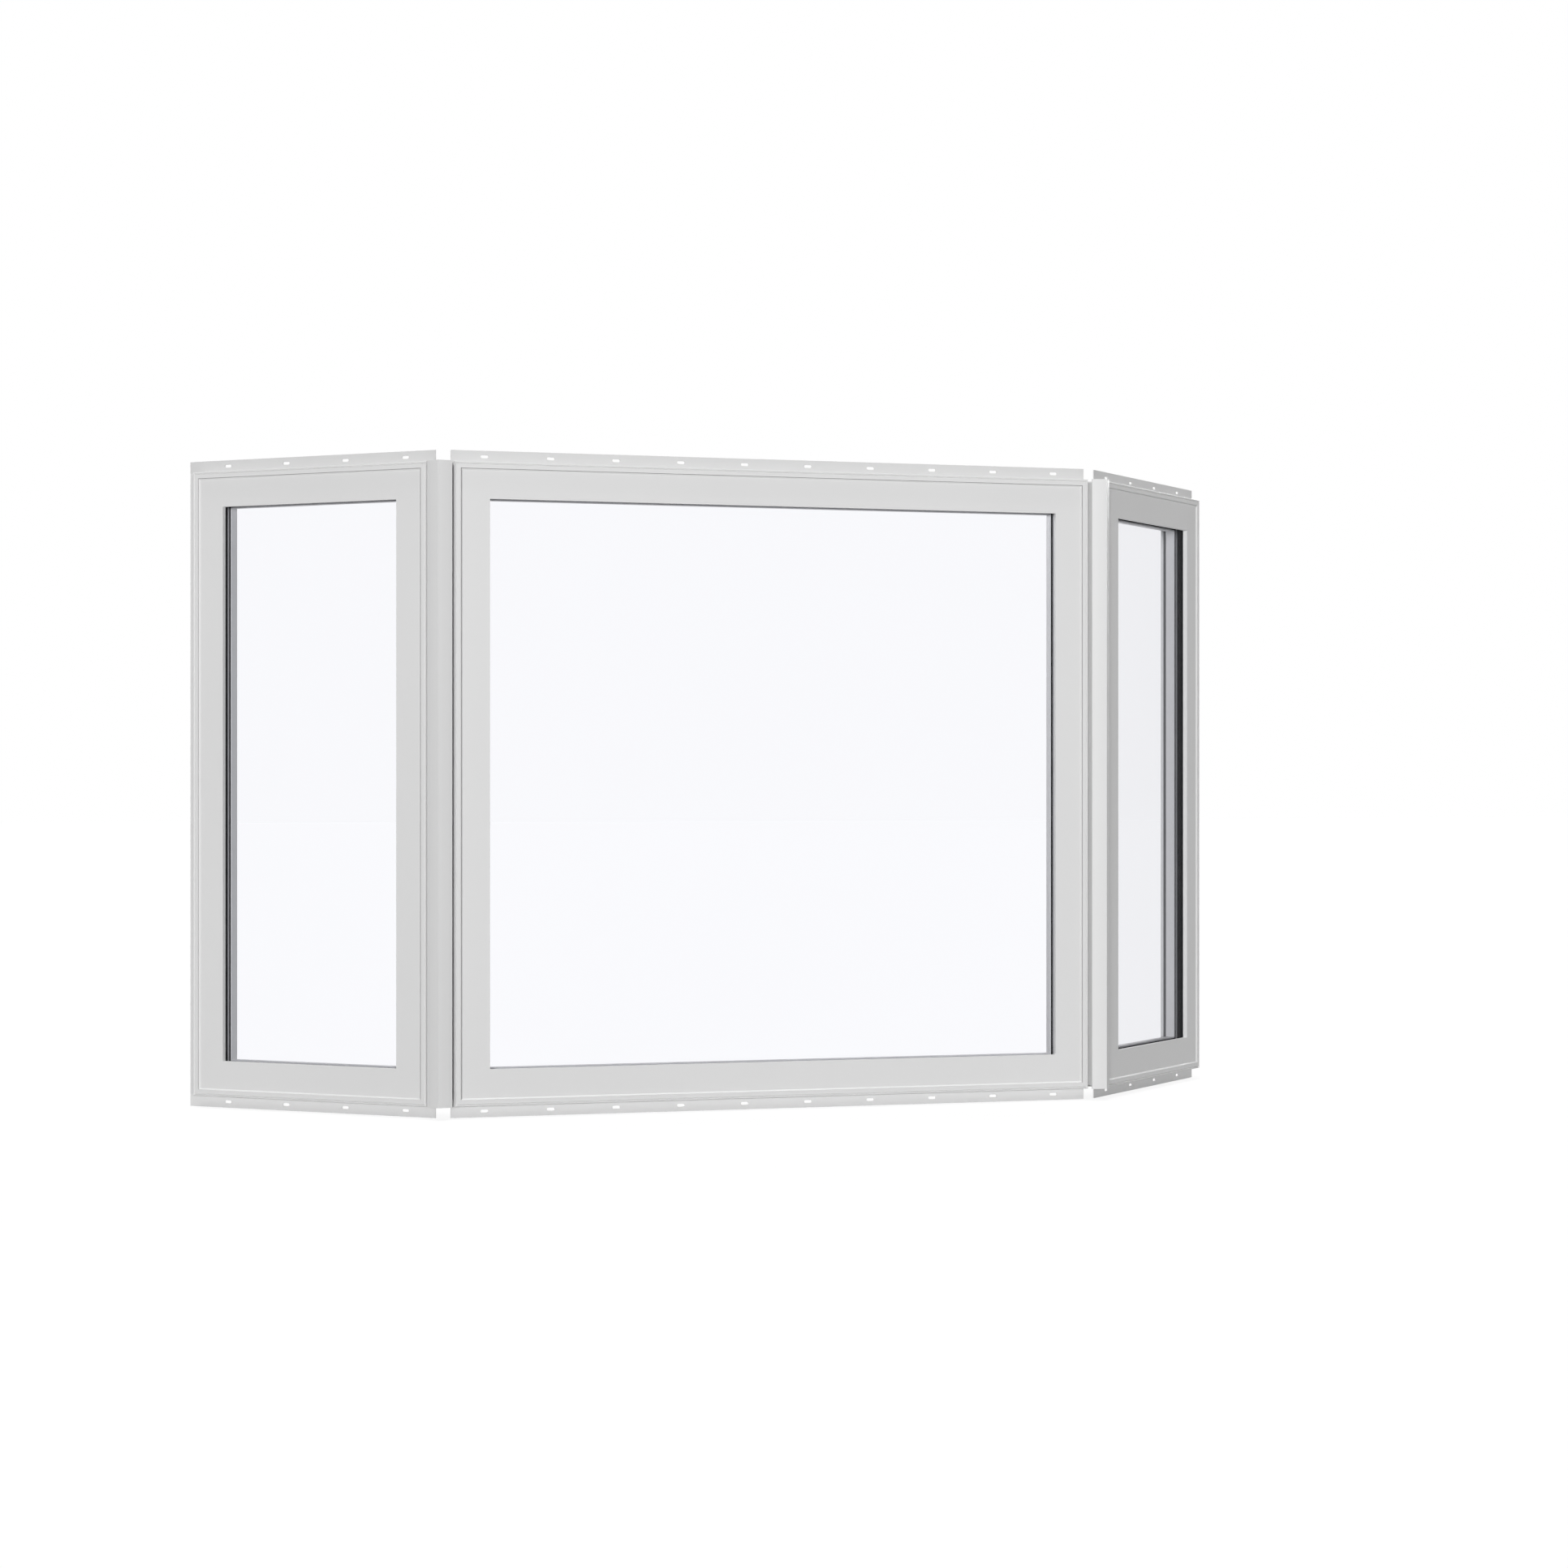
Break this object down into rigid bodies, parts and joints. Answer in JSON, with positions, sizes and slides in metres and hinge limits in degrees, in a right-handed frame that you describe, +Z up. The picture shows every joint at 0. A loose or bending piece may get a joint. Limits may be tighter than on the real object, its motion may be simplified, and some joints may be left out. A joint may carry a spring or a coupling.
{
  "type": "bay window",
  "caption": "Three-sided 45 degree bay window in white vinyl: fixed centre picture unit, casement flankers, V-nosed corner posts and slotted nail fins.",
  "frame": {"origin": "middle of the footprint at the level of the lower edges of the sill nail fins", "axes": "+X along the centre unit to the right as seen from outside, +Y towards the room, +Z up"},
  "size_m": [2.5348, 0.5448, 1.488],
  "materials": {
    "frame_vinyl": "smooth white vinyl extrusion, satin",
    "sash_vinyl": "smooth white vinyl extrusion, satin",
    "glass": "clear double glazing",
    "black_spacer": "black warm-edge spacer",
    "grey_spacer": "dull grey metal spacer",
    "seal_rubber": "black glazing gasket",
    "hardware": "white enamel"
  },
  "bodies": {
    "root": {"centre_frame_head": "frame_vinyl", "centre_frame_left_jamb": "frame_vinyl", "centre_frame_right_jamb": "frame_vinyl", "centre_frame_sill": "frame_vinyl", "centre_glass": "glass", "centre_glazing_beads": "sash_vinyl", "centre_head_fin": "frame_vinyl", "centre_sash_bottom_rail": "sash_vinyl", "centre_sash_left_stile": "sash_vinyl", "centre_sash_right_stile": "sash_vinyl", "centre_sash_top_rail": "sash_vinyl", "centre_seals": "seal_rubber", "centre_sill_fin": "frame_vinyl", "centre_spacer": "grey_spacer", "left_corner_trim": "frame_vinyl", "left_crank_operator": "hardware", "left_frame_corner_jamb": "frame_vinyl", "left_frame_head": "frame_vinyl", "left_frame_sill": "frame_vinyl", "left_frame_wall_jamb": "frame_vinyl", "left_glass": "glass", "left_glazing_beads": "sash_vinyl", "left_head_fin": "frame_vinyl", "left_post_core": "frame_vinyl", "left_post_cover": "frame_vinyl", "left_sash_bottom_rail": "sash_vinyl", "left_sash_corner_stile": "sash_vinyl", "left_sash_lock": "hardware", "left_sash_top_rail": "sash_vinyl", "left_sash_wall_stile": "sash_vinyl", "left_seals": "seal_rubber", "left_sill_fin": "frame_vinyl", "left_spacer": "black_spacer", "left_wall_fin": "frame_vinyl", "right_corner_trim": "frame_vinyl", "right_crank_operator": "hardware", "right_frame_corner_jamb": "frame_vinyl", "right_frame_head": "frame_vinyl", "right_frame_sill": "frame_vinyl", "right_frame_wall_jamb": "frame_vinyl", "right_glass": "glass", "right_glazing_beads": "sash_vinyl", "right_head_fin": "frame_vinyl", "right_post_core": "frame_vinyl", "right_post_cover": "frame_vinyl", "right_sash_bottom_rail": "sash_vinyl", "right_sash_corner_stile": "sash_vinyl", "right_sash_lock": "hardware", "right_sash_top_rail": "sash_vinyl", "right_sash_wall_stile": "sash_vinyl", "right_seals": "seal_rubber", "right_sill_fin": "frame_vinyl", "right_spacer": "black_spacer", "right_wall_fin": "frame_vinyl"}
  },
  "joints": []
}
